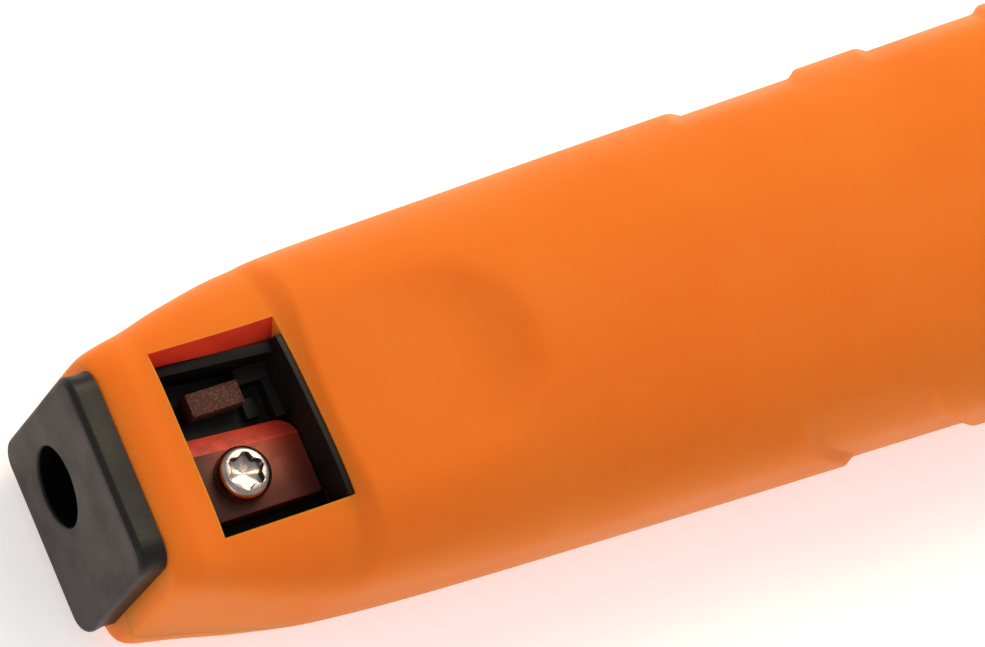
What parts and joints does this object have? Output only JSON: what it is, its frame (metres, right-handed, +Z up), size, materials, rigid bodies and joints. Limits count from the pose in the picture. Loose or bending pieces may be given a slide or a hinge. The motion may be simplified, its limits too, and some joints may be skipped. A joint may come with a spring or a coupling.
{
  "type": "non contact voltage tester",
  "caption": "Slim hand-held voltage tester with a padded torch nose, a window pocket, a thumb scoop, side grip notches, push buttons, a pocket clip and a pull-off battery cap.",
  "frame": {"origin": "centre of the underside flat, on the surface that the tester lies on, half way along its length", "axes": "+X towards the nose pad, +Z up through the buttons and the window, +Y to the tester's left seen from the tail"},
  "size_m": [0.16, 0.0266, 0.0228],
  "materials": {
    "shell_orange": "moulded satin polypropylene",
    "pad_black": "matt",
    "insert_black": "moulded satin",
    "sensor_brown": "speckled sintered",
    "polished_steel": "polished",
    "screw_steel": "bright zinc",
    "black_plastic": "moulded satin",
    "button_rubber": "matt",
    "led_clear": "clear",
    "lens_red": "clear tinted",
    "board_green": "solder mask",
    "contact_board_tan": "bare laminate",
    "capacitor_blue": "sleeve",
    "contact_steel": "nickel plated",
    "copper_strip": "bare copper",
    "cell_wrap": "printed sleeve without marks",
    "clip_steel": "bright"
  },
  "bodies": {
    "housing": {"top_shell": "shell_orange", "bottom_shell": "shell_orange", "nose_pad": "pad_black", "window_frame": "insert_black", "sensor_block": "sensor_brown", "clamp_block": "polished_steel", "clamp_screw": "screw_steel", "housing_screw_1": "screw_steel", "housing_screw_2": "screw_steel", "housing_screw_3": "screw_steel", "housing_screw_4": "screw_steel", "torch_led": "led_clear", "signal_led": "led_clear", "signal_lens": "lens_red", "led_sleeve": "black_plastic", "led_leg_1": "contact_steel", "led_leg_2": "contact_steel", "antenna_strip": "copper_strip", "circuit_board": "board_green", "controller_chip": "black_plastic", "buzzer": "black_plastic", "capacitor": "capacitor_blue", "resistor_1": "black_plastic", "resistor_2": "black_plastic", "resistor_3": "black_plastic", "power_switch": "contact_steel", "torch_switch": "contact_steel", "cell_1": "cell_wrap", "cell_2": "cell_wrap", "contact_board": "contact_board_tan", "front_plate": "contact_steel", "front_spring": "contact_steel", "clip_foot": "clip_steel", "clip_rivet_1": "screw_steel", "clip_rivet_2": "screw_steel"},
    "power_key": {"power_button": "button_rubber", "power_plunger": "black_plastic"},
    "torch_key": {"torch_button": "button_rubber", "torch_plunger": "black_plastic"},
    "clip": {"pocket_clip": "clip_steel"},
    "tail": {"tail_cap": "shell_orange", "cap_seal": "pad_black", "tail_bridge": "contact_steel", "tail_spring_1": "contact_steel", "tail_spring_2": "contact_steel"}
  },
  "joints": [
    {"name": "power_press", "type": "slide", "parent": "housing", "child": "power_key", "axis": [0, 0, -1], "range_m": [0, 0.0008], "stiffness_N_per_m": 1500, "springref_m": -0.0004},
    {"name": "torch_press", "type": "slide", "parent": "housing", "child": "torch_key", "axis": [0, 0, -1], "range_m": [0, 0.0008], "stiffness_N_per_m": 1500, "springref_m": -0.0004},
    {"name": "clip_flex", "type": "hinge", "parent": "housing", "child": "clip", "pos_m": [-0.0537, 0, 0.01935], "axis": [0, -1, 0], "range_deg": [0, 6], "stiffness_Nm_per_rad": 1.2, "springref_deg": -1.72},
    {"name": "cap_pull", "type": "slide", "parent": "housing", "child": "tail", "axis": [-1, 0, 0], "range_m": [0, 0.025]}
  ]
}
